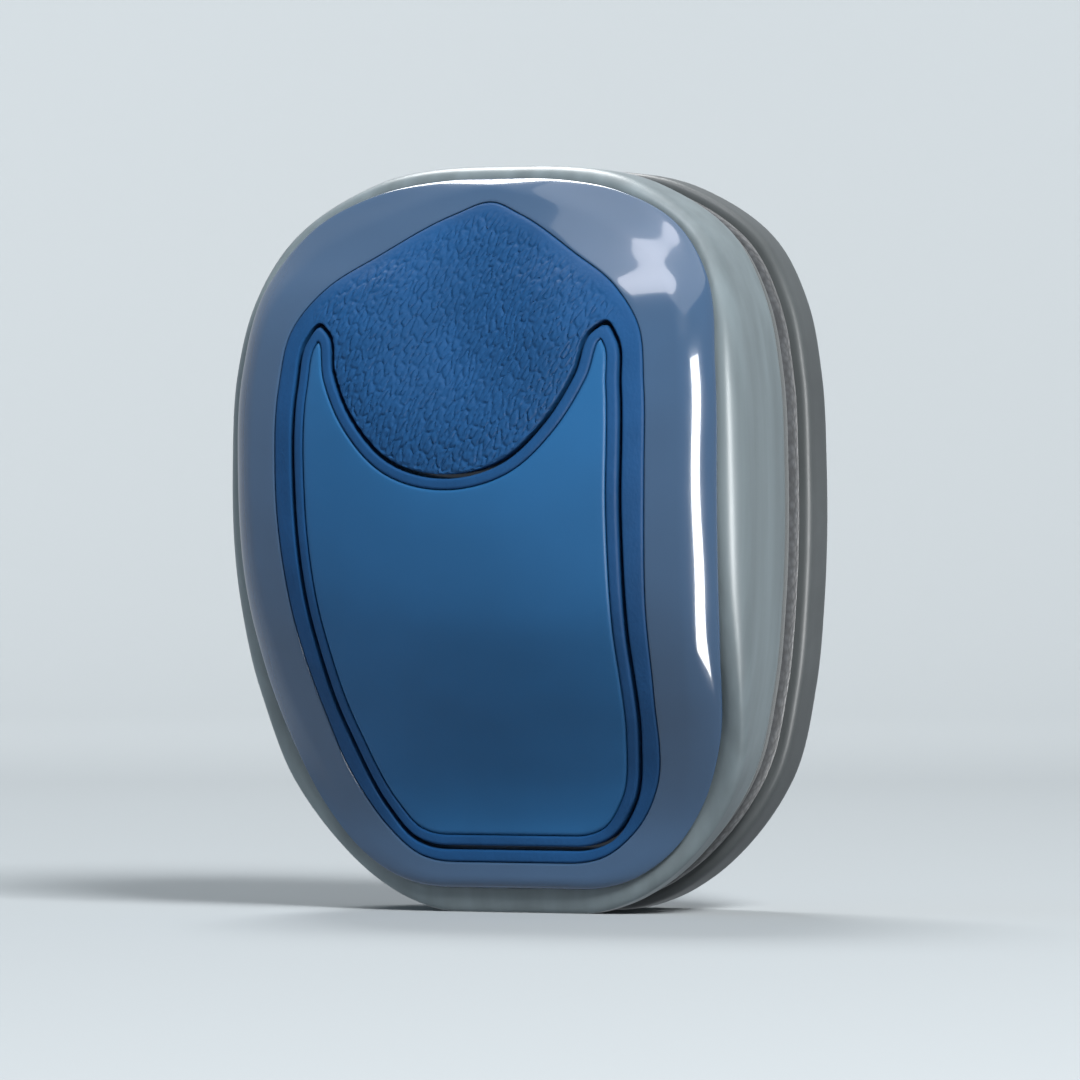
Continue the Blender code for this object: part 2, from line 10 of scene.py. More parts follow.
import bmesh
import bpy
import numpy as np
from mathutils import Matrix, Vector
from mathutils.geometry import delaunay_2d_cdt


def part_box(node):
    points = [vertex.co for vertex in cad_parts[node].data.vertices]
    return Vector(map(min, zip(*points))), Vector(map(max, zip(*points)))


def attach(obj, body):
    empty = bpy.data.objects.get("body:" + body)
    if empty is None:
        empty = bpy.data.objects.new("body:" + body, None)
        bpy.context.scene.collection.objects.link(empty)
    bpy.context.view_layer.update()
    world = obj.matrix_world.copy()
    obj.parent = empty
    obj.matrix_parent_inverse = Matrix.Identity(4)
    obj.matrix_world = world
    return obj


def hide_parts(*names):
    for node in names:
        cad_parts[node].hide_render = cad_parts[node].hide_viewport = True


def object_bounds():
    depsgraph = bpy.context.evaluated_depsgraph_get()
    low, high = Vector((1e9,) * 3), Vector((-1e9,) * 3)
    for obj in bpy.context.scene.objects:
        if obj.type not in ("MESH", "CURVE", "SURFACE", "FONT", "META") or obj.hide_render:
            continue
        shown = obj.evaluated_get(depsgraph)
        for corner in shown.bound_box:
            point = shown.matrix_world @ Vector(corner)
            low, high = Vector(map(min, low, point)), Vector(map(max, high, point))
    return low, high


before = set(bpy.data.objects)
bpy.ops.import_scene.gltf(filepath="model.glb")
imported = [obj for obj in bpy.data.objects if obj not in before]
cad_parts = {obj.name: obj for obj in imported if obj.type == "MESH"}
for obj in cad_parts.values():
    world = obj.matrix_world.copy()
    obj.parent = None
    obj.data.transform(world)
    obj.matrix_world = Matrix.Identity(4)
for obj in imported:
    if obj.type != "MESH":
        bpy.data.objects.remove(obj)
cad_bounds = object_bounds()

MM = 0.001

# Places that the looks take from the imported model.
FELT_BOX, SCRUB_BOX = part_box("felt_pad"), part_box("scrub_pad")
OUTER_FACE_Y = FELT_BOX[1].y
INNER_FACE_Y = SCRUB_BOX[0].y
FELT_THICKNESS = FELT_BOX[1].y - FELT_BOX[0].y
SCRUB_THICKNESS = SCRUB_BOX[1].y - SCRUB_BOX[0].y
PAD_GAP = INNER_FACE_Y - OUTER_FACE_Y
OUTER_BASE_START = OUTER_FACE_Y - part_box("outer_base_plate")[1].y
INNER_BASE_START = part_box("inner_base_plate")[0].y - INNER_FACE_Y
HEIGHT = cad_bounds[1].z

# Sizes that the looks share with the model's source.
OUTER_THICKNESS = 24.2 * MM
INNER_THICKNESS = 10.6 * MM
MIDDLE_Z = 38.0 * MM
CLEARANCE = 0.3 * MM

# Half outlines, as (half width, height) in mm from the middle of the foot to the top.
CASING = (
    (6.8, 0), (11.5, 1.1), (15.3, 3.2), (19.8, 7.3), (23.8, 13.3), (26, 22), (26.9, 31),
    (27.1, 44), (26.6, 53), (25.2, 60), (22.3, 65.8), (14, 71.5), (0, 73.2),
)
COVER = (
    (7, 2.4), (12.3, 3.4), (16, 5.7), (19.8, 10.3), (22.6, 16.8), (24.3, 26.5),
    (25.1, 42), (24.8, 53), (23.1, 61.8), (19, 67.3), (13, 70.4), (6.5, 71.7), (0, 71.9),
)
INLAY = (
    (6, 5), (9.6, 5.6), (13, 8.2), (16, 13), (17.6, 21), (18.6, 30.5), (19.3, 43),
    (19.1, 51.5), (18.1, 57.2), (15.2, 61), (10.3, 64.3), (3.4, 68.3), (0, 69.5),
)
PANEL = (
    (6.9, 6.2), (10.4, 7.1), (13.2, 10.4), (15.5, 17.5), (16.65, 28), (17.2, 40), (17.1, 51.5),
    (16.4, 56.1), (15, 57.7), (13.6, 56.8), (12.3, 52.6), (9.7, 48), (5.9, 44.4), (0, 42.9),
)
INNER_GRIP = ((9, 13), (14.5, 19), (17.6, 30), (18.2, 42), (16.5, 53), (11, 60), (0, 62.5))

# Rise of the cover along its middle, and of the line where it meets the skirt, against height, in mm.
CREST = (
    (0, 7.4), (5.4, 7.3), (8.5, 7.6), (12, 9), (16.6, 12.1), (22.5, 16.6), (29.4, 21), (37, 23.5),
    (44.4, 24.2), (52.4, 23.4), (57, 22), (61, 19.6), (64, 17), (67, 14.6), (70, 12.3), (73.2, 10.4),
)
SHOULDER = (
    (0, 5.6), (8, 5.9), (17, 8.4), (25, 12.1), (31.5, 14.3), (45, 15.6), (53, 15.2), (59.5, 13.6),
    (64.5, 11.8), (73.2, 9),
)
CROWN_RADIUS = 54 * MM
DISH_Z = 57 * MM
DISH_HALF_SIZE = (11.5 * MM, 12 * MM)
DISH_DEPTH = 2.8 * MM
ROUNDED_SHARE = 0.5
SKIRT_ROUNDED_SHARE = 0.25
COVER_WALL = 1.3 * MM
INLAY_THICKNESS = 1.3 * MM
BED_DEPTH = 2.0 * MM
BEAD_WIDTH = 0.9 * MM
SKIRT_LEDGE = 0.9 * MM
CASING_EDGE = 0.8 * MM
PAD_INSET = 0.9 * MM
INNER_EDGE_RADIUS = 3.6 * MM
INNER_BULGE = 0.9 * MM
INNER_WALL = 1.4 * MM
BACK_HALF_SIZE = (27 * MM, 37 * MM)
GRAIN_SLANT = 62  # degrees from level of the leather grain's wrinkles
GRAIN_WANDER = 0.25 * MM  # how far ripples bend the wrinkles aside
COARSE_GRAIN = np.array([1.75, 0.58]) * MM  # length and width of its larger wrinkles
COARSE_DEPTH = 0.17 * MM
FINE_GRAIN = np.array([1.2, 0.41]) * MM
FINE_DEPTH = 0.07 * MM
RIB_COUNT = 5
RIB_HEIGHT = 0.55 * MM
RIB_PITCH = 6.4 * MM
RIB_HALF_LENGTH = 13.5 * MM
RIB_FADE = 3.0 * MM

# How finely the looks are built.
RAYS = 360
PANEL_POINTS = 560
GROOVE_WIDTH = 0.42 * MM  # round the outside of the bead
SEAM = 0.05 * MM  # between the inlay and its bed, and between the panel and its bead
PILE = PAD_GAP / 2 - 0.1 * MM  # how far each pad's pile stands past its solid
LIP = 0.25 * MM  # rounding of the cover's edges
SOFT_EDGE = 0.35 * MM  # rounding of the panel's and the grip's edges
SHARP_ANGLE = 48  # degrees, above which an edge is left hard
CHUNK = 2000  # points measured at a time


# Curves


def hermite(knots, values, slopes, at):
    """The smooth curve through values at knots, with the given slopes, at each place."""
    at = np.clip(at, knots[0], knots[-1])
    i = np.clip(np.searchsorted(knots, at, side="right") - 1, 0, len(knots) - 2)
    width = knots[i + 1] - knots[i]
    t = (at - knots[i]) / width
    if values.ndim == 2:
        t, width = t[:, None], width[:, None]
    return (
        (1 + 2 * t) * (1 - t) ** 2 * values[i]
        + t * (1 - t) ** 2 * width * slopes[i]
        + t**2 * (3 - 2 * t) * values[i + 1]
        - t**2 * (1 - t) * width * slopes[i + 1]
    )


def profile(table, at):
    """A smooth value against height, from a table in mm."""
    knots, values = (np.array(column, float) * MM for column in zip(*table))
    return hermite(knots, values, np.gradient(values, knots), np.asarray(at, float))


def whole_curve(table, steps=600):
    """The closed outline, anticlockwise from the right end of the foot, without a repeated point."""
    points = np.array(table, float) * MM
    along = np.concatenate([[0], np.cumsum(np.linalg.norm(np.diff(points, axis=0), axis=1))])
    slopes = np.gradient(points, along, axis=0)
    slopes[0] = (1, 0)
    slopes[-1] = (-1, 0)
    right = hermite(along, points, slopes, np.linspace(0, along[-1], steps))
    left = right[::-1] * (-1, 1)
    return np.concatenate([right, left[1:]])


def even_outline(table, count):
    """An outline as points evenly spaced along it."""
    curve = whole_curve(table)
    closed = np.concatenate([curve, curve[:1]])
    along = np.concatenate([[0], np.cumsum(np.linalg.norm(np.diff(closed, axis=0), axis=1))])
    at = np.arange(count) * along[-1] / count
    return np.stack([np.interp(at, along, closed[:, k]) for k in (0, 1)], axis=1)


def ray_outline(table, count=RAYS):
    """An outline as the points where evenly turned rays from the middle meet it."""
    curve = whole_curve(table) - (0, MIDDLE_Z)
    closed = np.concatenate([curve, curve[:1]])
    turns = np.unwrap(np.arctan2(closed[:, 1], closed[:, 0]))
    wanted = (math.ceil(turns[0] * count / math.tau) + np.arange(count)) * math.tau / count
    i = np.minimum(np.searchsorted(turns, wanted, side="right") - 1, len(curve) - 1)
    start, step = closed[i], closed[i + 1] - closed[i]
    ray = np.stack([np.cos(wanted), np.sin(wanted)], axis=1)
    across = start[:, 1] * ray[:, 0] - start[:, 0] * ray[:, 1]
    share = across / (step[:, 0] * ray[:, 1] - step[:, 1] * ray[:, 0])
    return start + step * share[:, None] + (0, MIDDLE_Z)


def inset(outline, width):
    """A closed outline moved inwards by width, or outwards where width is negative."""
    ahead = np.roll(outline, -1, axis=0) - outline
    behind = outline - np.roll(outline, 1, axis=0)
    ahead /= np.linalg.norm(ahead, axis=1, keepdims=True)
    behind /= np.linalg.norm(behind, axis=1, keepdims=True)
    normal = np.stack([-(ahead + behind)[:, 1], (ahead + behind)[:, 0]], axis=1)
    normal /= np.linalg.norm(normal, axis=1, keepdims=True)
    return outline + normal * np.reshape(width, (-1, 1))


def distance_to(points, loop):
    """How far each point is from a closed loop."""
    start, step = loop, np.roll(loop, -1, axis=0) - loop
    nearest = np.empty(len(points))
    for first in range(0, len(points), CHUNK):
        offset = points[first : first + CHUNK, None] - start[None]
        share = np.clip((offset * step).sum(axis=2) / (step**2).sum(axis=1), 0, 1)
        gaps = np.linalg.norm(offset - share[..., None] * step, axis=2)
        nearest[first : first + CHUNK] = gaps.min(axis=1)
    return nearest


def pointed_inset(outline, width):
    """An inset that stays whole at corners tighter than its width: points that cross over are left out."""
    moved = inset(outline, width)
    nearly_all = 0.985 * abs(width)
    return moved[distance_to(moved, outline) > nearly_all]


def ease(value, low, high):
    """A smooth step from 0 at low to 1 at high."""
    t = np.clip((value - low) / (high - low), 0, 1)
    return t * t * (3 - 2 * t)


def rounded(distance, radius):
    """How much lower a surface lies near an edge of that radius."""
    short = np.clip(radius - distance, 0, radius)
    return radius - np.sqrt(np.maximum(radius**2 - short**2, 0))


# Surfaces, as rise over the plan


def front(plan):
    """The outside of the cover and its inlay, before the rim curves down."""
    crest = profile(CREST, plan[:, 1])
    crown = plan[:, 0] ** 2 / (2 * CROWN_RADIUS) * crest / OUTER_THICKNESS
    away = np.minimum(np.linalg.norm((plan - (0, DISH_Z)) / DISH_HALF_SIZE, axis=1), 1)
    return crest - crown - DISH_DEPTH * (1 + np.cos(math.pi * away)) / 2


def inlay_back(plan):
    """The underside of the inlay."""
    return front(plan) - INLAY_THICKNESS


def shoulder(plan):
    """The line where the cover meets the skirt."""
    return profile(SHOULDER, plan[:, 1])


def inner_back(plan):
    """The outside of the inner casing between its rounded edges."""
    fall = (((plan - (0, MIDDLE_Z)) / BACK_HALF_SIZE) ** 2).sum(axis=1) / 2
    return INNER_THICKNESS - RIB_HEIGHT - INNER_BULGE * fall


def scatter(cell, seed):
    """Two repeatable random shares from -1 to 1 for each cell of a grid."""
    turn = cell[:, 0] * 127.1 + cell[:, 1] * 311.7 + seed
    across = np.modf(np.sin(turn) * 43758.5)[0]
    up = np.modf(np.sin(turn + 74.7) * 24634.6)[0]
    return np.stack([across, up], axis=1)


def cells(plan, size, seed):
    """The gap between the nearest and second nearest of scattered cell middles, as a share of a cell."""
    place = plan / size
    corner = np.floor(place).astype(int)
    nearest = np.full((2, len(plan)), 9.0)
    for across in (-1, 0, 1):
        for up in (-1, 0, 1):
            cell = corner + (across, up)
            gap = np.linalg.norm(cell + 0.5 + 0.42 * scatter(cell, seed) - place, axis=1)
            nearest[1] = np.minimum(nearest[1], np.maximum(gap, nearest[0]))
            nearest[0] = np.minimum(nearest[0], gap)
    return nearest[1] - nearest[0]


def ripple(plan, size, seed):
    """Smooth random hills of about that size, from -1 to 1."""
    waves = []
    for k, (heading, phase) in enumerate(np.random.default_rng(seed).uniform(0, math.tau, (7, 2))):
        along = plan @ (math.cos(heading), math.sin(heading))
        waves.append(np.sin(math.tau * along / size * (0.7 + 0.1 * k) + phase))
    return np.sum(waves, axis=0) / len(waves)


# Building


class Half:
    """One half of the cleaner: the body that its pieces ride on, and which way its rise runs."""

    def __init__(self, body, face_y, outward):
        self.body, self.face_y, self.outward = body, face_y, outward

    def place(self, points):
        """World points from plan points with their rise."""
        points = np.asarray(points)
        return np.column_stack([points[:, 0], self.face_y + self.outward * points[:, 2], points[:, 1]])

    def add(self, name, points, faces, finish, slot, replaces):
        """A named closed piece that stands for its node."""
        mesh = bpy.data.meshes.new(name)
        mesh.from_pydata(self.place(points).tolist(), [], faces)
        work = bmesh.new()
        work.from_mesh(mesh)
        bmesh.ops.recalc_face_normals(work, faces=work.faces[:])
        work.to_mesh(mesh)
        work.free()
        mesh.shade_smooth()
        mesh.set_sharp_from_angle(angle=math.radians(SHARP_ANGLE))
        mesh.materials.append(finish)
        piece = bpy.data.objects.new(name, mesh)
        bpy.context.scene.collection.objects.link(piece)
        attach(piece, self.body)
        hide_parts(*replaces)
        return piece


OUTER = Half("outer_half", OUTER_FACE_Y, -1)
INNER = Half("inner_half", INNER_FACE_Y, 1)


def lift(plan, rise):
    """Plan points with their rise, which may be one number for all."""
    return np.column_stack([plan, np.broadcast_to(rise, len(plan))])


def toward_middle(plan, share):
    """Plan points moved towards the middle, to share of their distance."""
    middle = np.array([0, MIDDLE_Z])
    return middle + (plan - middle) * share


def loft(rings, cycle=False):
    """Points and faces that join rings in turn. A ring of one point is the tip of a fan."""
    starts = np.cumsum([0] + [len(ring) for ring in rings])
    faces = []
    pairs = list(zip(range(len(rings) - 1), range(1, len(rings))))
    if cycle:
        pairs.append((len(rings) - 1, 0))
    for a, b in pairs:
        count = max(len(rings[a]), len(rings[b]))
        for here in range(count):
            there = (here + 1) % count
            turns = ((a, here), (a, there), (b, there), (b, here))
            corners = [int(starts[ring] + turn % len(rings[ring])) for ring, turn in turns]
            faces.append(list(dict.fromkeys(corners)))
    return np.concatenate(rings), faces


def inside(points, loop):
    """Which points lie inside a closed loop."""
    result = np.zeros(len(points), bool)
    for start, end in zip(loop, np.roll(loop, -1, axis=0)):
        if start[1] != end[1]:
            crosses = (start[1] > points[:, 1]) != (end[1] > points[:, 1])
            at = start[0] + (points[:, 1] - start[1]) * (end[0] - start[0]) / (end[1] - start[1])
            result ^= crosses & (points[:, 0] < at)
    return result


def lattice(loops, spacing, room, within=None):
    """Points in staggered rows inside the first loop, outside the others and clear of all their edges."""
    low, high = loops[0].min(axis=0), loops[0].max(axis=0)
    up = spacing * math.sqrt(3) / 2
    rows = np.arange(math.ceil(low[1] / up), math.floor(high[1] / up) + 1)
    columns = np.arange(math.floor(low[0] / spacing), math.ceil(high[0] / spacing) + 1)
    across, upward = np.meshgrid(columns, rows)
    grid = np.stack([(across + (upward % 2) / 2).ravel() * spacing, upward.ravel() * up], axis=1)
    if within is not None:
        grid = grid[within(grid)]
    grid = grid[inside(grid, loops[0])]
    for hole in loops[1:]:
        grid = grid[~inside(grid, hole)]
    for loop in loops:
        grid = grid[distance_to(grid, loop) > room]
    return grid


def slab(loops, top, bottom, fill=(), edge=0.0):
    """Points and faces of a plate with a closed outline and holes, its upper edges rounded to a radius."""
    rings = []
    for share in (0.06, 0.2, 0.42, 0.7, 1.0):
        if edge:
            rings += [pointed_inset(loops[0], edge * share)]
            rings += [pointed_inset(hole, -edge * share) for hole in loops[1:]]
    plan = np.concatenate([*loops, *rings, *fill])
    edges, start = [], 0
    for loop in loops:
        edges += [(start + k, start + (k + 1) % len(loop)) for k in range(len(loop))]
        start += len(loop)
    found = delaunay_2d_cdt([Vector(p / MM) for p in plan], edges, [], 0, 1e-6)
    plan = np.array([tuple(p) for p in found[0]]) * MM
    triangles = np.array(found[2])
    middles = plan[triangles].mean(axis=1)
    keep = inside(middles, loops[0])
    for hole in loops[1:]:
        keep &= ~inside(middles, hole)
    triangles = triangles[keep]
    ends = np.concatenate([triangles[:, [0, 1]], triangles[:, [1, 2]], triangles[:, [2, 0]]])
    used = {tuple(pair) for pair in ends.tolist()}
    rim = [pair for pair in used if pair[::-1] not in used]
    drop = rounded(np.min([distance_to(plan, loop) for loop in loops], axis=0), edge) if edge else 0
    count = len(plan)
    points = np.concatenate([lift(plan, top(plan) - drop), lift(plan, bottom(plan))])
    faces = triangles.tolist() + (triangles[:, ::-1] + count).tolist()
    faces += [[b, a, a + count, b + count] for a, b in sorted(rim)]
    touched, renumbered = np.unique(np.concatenate([np.ravel(face) for face in faces]), return_inverse=True)
    sizes = np.cumsum([len(face) for face in faces])[:-1]
    return points[touched], [part.tolist() for part in np.split(renumbered, sizes)]


def edge_round(radius, steps=5):
    """(inwards, down) of a rounded outer edge, from its side up to its top, in turn."""
    turns = np.linspace(0, math.pi / 2, steps)
    return [(radius * (1 - math.cos(t)), radius * (1 - math.sin(t))) for t in turns]


# Materials


class Value:
    """A shader socket that takes part in Python arithmetic."""

    def __init__(self, finish, socket):
        self.finish, self.socket = finish, socket

    def math(self, operation, *others):
        terms = dict(enumerate((self, *others)))
        return self.finish.node("ShaderNodeMath", {"operation": operation}, terms)

    def __add__(self, other):
        return self.math("ADD", other)

    def __mul__(self, other):
        return self.math("MULTIPLY", other)

    def __rsub__(self, other):
        return (self * -1) + other

    __radd__ = __add__
    __rmul__ = __mul__


class Finish:
    """A Principled material that is built up from nodes."""

    def __init__(self, name, colour, roughness, **settings):
        self.material = bpy.data.materials.new(name)
        self.material.use_nodes = True
        self.tree = self.material.node_tree
        self.shader = self.tree.nodes["Principled BSDF"]
        self.set(self.shader, {"Base Color": (*colour, 1), "Roughness": roughness, **settings})

    def set(self, node, inputs):
        for key, value in inputs.items():
            if isinstance(value, Value):
                self.tree.links.new(value.socket, node.inputs[key])
            else:
                node.inputs[key].default_value = value

    def node(self, kind, settings=None, inputs=None, output=0):
        """Any node: its settings first, then the values or links of its sockets."""
        made = self.tree.nodes.new(kind)
        for key, value in (settings or {}).items():
            if key == "stops":
                while len(made.color_ramp.elements) < len(value):
                    made.color_ramp.elements.new(0.5)
                for element, (at, colour) in zip(made.color_ramp.elements, value):
                    element.position, element.color = at, (*colour, 1)
            else:
                setattr(made, key, value)
        self.set(made, inputs or {})
        return Value(self, made.outputs[output])

    def place(self, scale=(1, 1, 1), turn=0.0):
        """Object coordinates in mm, stretched and turned about Y."""
        source = self.node("ShaderNodeTexCoord", output="Object")
        return self.node("ShaderNodeMapping", {}, {
            "Vector": source, "Rotation": (0, turn, 0), "Scale": tuple(s / MM for s in scale)})

    def noise(self, size, detail=3.0, roughness=0.55, stretch=(1, 1, 1), turn=0.0):
        """Noise from 0 to 1 with features of about that size in mm."""
        where = self.place(tuple(s / size for s in stretch), turn)
        return self.node("ShaderNodeTexNoise", {}, {
            "Vector": where, "Scale": 1.0, "Detail": detail, "Roughness": roughness})

    def ramp(self, value, *stops):
        return self.node("ShaderNodeValToRGB", {"stops": stops}, {"Fac": value})

    def spread(self, value, low, high):
        """value from 0..1 to low..high."""
        return value * (high - low) + low

    def bump(self, height, depth):
        """Raise the surface by height, whose 1 is depth in mm."""
        made = self.node("ShaderNodeBump", {}, {"Height": height, "Distance": depth * MM})
        self.set(self.shader, {"Normal": made})
        return self

    def feed(self, **inputs):
        """Feed the shader's sockets, with _ for a space in their names."""
        self.set(self.shader, {key.replace("_", " "): value for key, value in inputs.items()})
        return self


def shade(colour, share):
    """A colour made lighter or darker."""
    return tuple(min(c * share, 1) for c in colour)


def slate_gloss():
    """The glossy slate cover: a deep clear lacquer look with the faint haze and hairlines of handling."""
    base = (0.031, 0.07, 0.136)
    made = Finish("slate_gloss", base, 0.3, **{
        "Coat Weight": 1.0, "Coat Roughness": 0.05, "Specular IOR Level": 0.3})
    cloud = made.noise(16, 2)
    hair = made.noise(0.35, 2, 0.6, stretch=(1, 1, 0.06), turn=0.5)
    made.feed(Base_Color=made.ramp(cloud, (0.3, shade(base, 0.93)), (0.7, shade(base, 1.08))),
              Roughness=made.spread(made.noise(5, 4), 0.16, 0.27))
    return made.bump(hair * 0.4 + made.noise(9, 1), 0.006).material


def pale_casing():
    """The pale grey-green skirt, satin, with faint upright lines."""
    base = (0.135, 0.166, 0.178)
    made = Finish("pale_casing", base, 0.3, **{"Coat Weight": 0.1, "Coat Roughness": 0.4})
    drawn = made.noise(2.2, 3, 0.5, stretch=(1, 1, 0.05))
    made.feed(Base_Color=made.ramp(drawn, (0.32, shade(base, 0.86)), (0.68, shade(base, 1.12))),
              Roughness=made.spread(made.noise(4, 4), 0.34, 0.46))
    return made.bump(drawn, 0.01).material


def dark_casing():
    """The dark grey tank-side casing with a fine eroded mould texture."""
    base = (0.058, 0.065, 0.067)
    made = Finish("dark_casing", base, 0.44)
    made.feed(Base_Color=made.ramp(made.noise(11, 3), (0.3, shade(base, 0.88)), (0.7, shade(base, 1.15))),
              Roughness=made.spread(made.noise(3, 4), 0.38, 0.52))
    return made.bump(made.noise(0.28, 3, 0.7) + made.noise(6, 1), 0.008).material


def soft_blue():
    """The soft-touch blue of the grips, with pores finer than its moulded grain."""
    base = (0.0095, 0.053, 0.145)
    made = Finish("soft_blue", base, 0.55, **{"Specular IOR Level": 0.14})
    pores = made.node("ShaderNodeTexVoronoi", {"feature": "SMOOTH_F1"}, {
        "Vector": made.place((3.2, 3.2, 2.2), 0.4), "Scale": 1.0, "Smoothness": 0.5}, output="Distance")
    worn = made.noise(7, 4)
    made.feed(Base_Color=made.ramp(worn, (0.28, shade(base, 0.86)), (0.75, shade(base, 1.14))),
              Roughness=made.spread(made.noise(1.6, 4), 0.47, 0.64))
    return made.bump(pores + made.noise(0.22, 2, 0.7) * 0.6, 0.02).material


def smooth_blue():
    """The satin blue of the palm panel."""
    base = (0.015, 0.085, 0.205)
    made = Finish("smooth_blue", base, 0.42, **{"Specular IOR Level": 0.2})
    made.feed(Base_Color=made.ramp(made.noise(14, 2), (0.3, shade(base, 0.94)), (0.7, shade(base, 1.07))),
              Roughness=made.spread(made.noise(2.5, 5), 0.34, 0.46))
    return made.bump(made.noise(0.2, 3, 0.7), 0.006).material


def felt_grey():
    """Dense charcoal felt."""
    base = (0.052, 0.061, 0.063)
    made = Finish("felt_grey", base, 0.95, **{"Sheen Weight": 0.15, "Sheen Roughness": 0.6})
    fluff = made.noise(0.5, 5, 0.75)
    made.feed(Base_Color=made.ramp(fluff, (0.3, shade(base, 0.8)), (0.72, shade(base, 1.25))))
    return made.bump(fluff, 0.05).material


def scrub_black():
    """The coarse looped fleece of the scrubbing pad."""
    base = (0.035, 0.038, 0.042)
    made = Finish("scrub_black", base, 0.85, **{"Sheen Weight": 0.3, "Sheen Roughness": 0.5})
    loops = made.node("ShaderNodeTexVoronoi", {"feature": "F1"}, {
        "Vector": made.place((1.5, 1.5, 1.5)), "Scale": 1.0}, output="Distance")
    made.feed(Base_Color=made.ramp(loops, (0.1, shade(base, 1.4)), (0.7, shade(base, 0.65))))
    return made.bump(1 - loops, 0.1).material


def moulded(name, base, roughness, grain=0.35):
    """Plain moulded plastic, rubber or foam with a fine grain."""
    made = Finish(name, base, roughness)
    made.feed(Base_Color=made.ramp(made.noise(6, 4), (0.3, shade(base, 0.85)), (0.7, shade(base, 1.15))),
              Roughness=made.spread(made.noise(2, 3), roughness - 0.08, min(roughness + 0.08, 1)))
    return made.bump(made.noise(grain, 3, 0.7), 0.02).material


def drawn_metal(name, base, roughness):
    """Steel with the fine lines of its rolling."""
    made = Finish(name, base, roughness, Metallic=1.0)
    lines = made.noise(0.5, 3, 0.6, stretch=(1, 1, 0.04))
    made.feed(Base_Color=made.ramp(lines, (0.3, shade(base, 0.85)), (0.7, base)),
              Roughness=made.spread(lines, roughness - 0.08, roughness + 0.1))
    return made.bump(lines, 0.005).material


# Pieces of the outer half


def outer_cover(finish):
    """The slate cover: a rounded wedge with a soft lip round the sunk bed of the inlay."""
    rim, bed = ray_outline(COVER), inset(ray_outline(INLAY), -SEAM / 2)
    edge = shoulder(rim) + CLEARANCE
    start = edge + LIP
    rings = [lift(inset(rim, LIP), edge), lift(inset(rim, 0.06 * MM), edge + 0.06 * MM), lift(rim, start)]
    for turn in np.linspace(0, math.pi / 2, 19)[1:]:
        plan = rim + (bed - rim) * ROUNDED_SHARE * (1 - math.cos(turn))
        rings.append(lift(plan, start + (front(plan) - start) * math.sin(turn)))
    for share in (0.6, 0.7, 0.8, 0.9):
        plan = rim + (bed - rim) * share
        rings.append(lift(plan, front(plan)))
    for inwards, down in reversed(edge_round(LIP, 6)):
        plan = inset(bed, -inwards)
        rings.append(lift(plan, front(plan) - down))
    for share in (1.0, *np.linspace(0.96, 0.04, 24)):
        plan = toward_middle(bed, share)
        rings.append(lift(plan, front(plan) - BED_DEPTH))
    middle = np.array([[0, MIDDLE_Z]])
    rings += [lift(middle, front(middle) - BED_DEPTH), lift(middle, front(middle) - BED_DEPTH - COVER_WALL)]
    for share in np.linspace(0.04, 0.95, 24):
        plan = toward_middle(bed, share)
        rings.append(lift(plan, front(plan) - BED_DEPTH - COVER_WALL))
    rings.append(lift(inset(rim, COVER_WALL), edge))
    return OUTER.add("cover", *loft(rings, cycle=True), finish, "slate_cover", ["outer_shell"])


def skirt(finish):
    """The pale side band, rounded in to the cover along its shoulder."""
    outside, cover = ray_outline(CASING), ray_outline(COVER)
    within, top = inset(cover, SKIRT_LEDGE), shoulder(cover)
    depth = (top - OUTER_BASE_START) * SKIRT_ROUNDED_SHARE
    rings = [lift(within, OUTER_BASE_START)]
    for inwards, down in reversed(edge_round(CASING_EDGE)):
        rings.append(lift(inset(outside, inwards), OUTER_BASE_START + down))
    side = top - depth - OUTER_BASE_START - CASING_EDGE
    for share in np.linspace(0.08, 0.92, 10):
        rings.append(lift(outside, OUTER_BASE_START + CASING_EDGE + side * share))
    for turn in np.linspace(0, math.pi / 2, 15):
        plan = cover + (outside - cover) * math.cos(turn)
        rings.append(lift(plan, top - depth * (1 - math.sin(turn))))
    rings.append(lift(within, top))
    return OUTER.add("skirt", *loft(rings, cycle=True), finish, "pale_casing", ["outer_skirt"])


def thumb_area(plan):
    """1 where the surround has its leather grain: above the panel's bow and between and over its horns."""
    middle = ease(plan[:, 1], 38 * MM, 41 * MM)
    beside = ease(np.abs(plan[:, 0]), 13.6 * MM, 15.2 * MM) * (1 - ease(plan[:, 1], 56.5 * MM, 59.5 * MM))
    return middle * (1 - beside)


def grained_front(edge):
    """The front of the surround, with a moulded grain of slanting wrinkles that fades before its edge."""
    slant = math.radians(GRAIN_SLANT)
    axes = np.array([[math.cos(slant), -math.sin(slant)], [math.sin(slant), math.cos(slant)]])

    def surface(plan):
        wander = np.stack([ripple(plan, 5 * MM, 3), ripple(plan, 5 * MM, 4)], axis=1)
        turned = (plan + GRAIN_WANDER * wander) @ axes
        coarse = ease(cells(turned, COARSE_GRAIN, 5), 0.0, 0.27)
        fine = ease(cells(turned, FINE_GRAIN, 9), 0.0, 0.34)
        mask = thumb_area(plan) * ease(distance_to(plan, edge), 0.5 * MM, 1.8 * MM)
        return front(plan) - mask * (COARSE_DEPTH * (1 - coarse) + FINE_DEPTH * (1 - fine))

    return surface


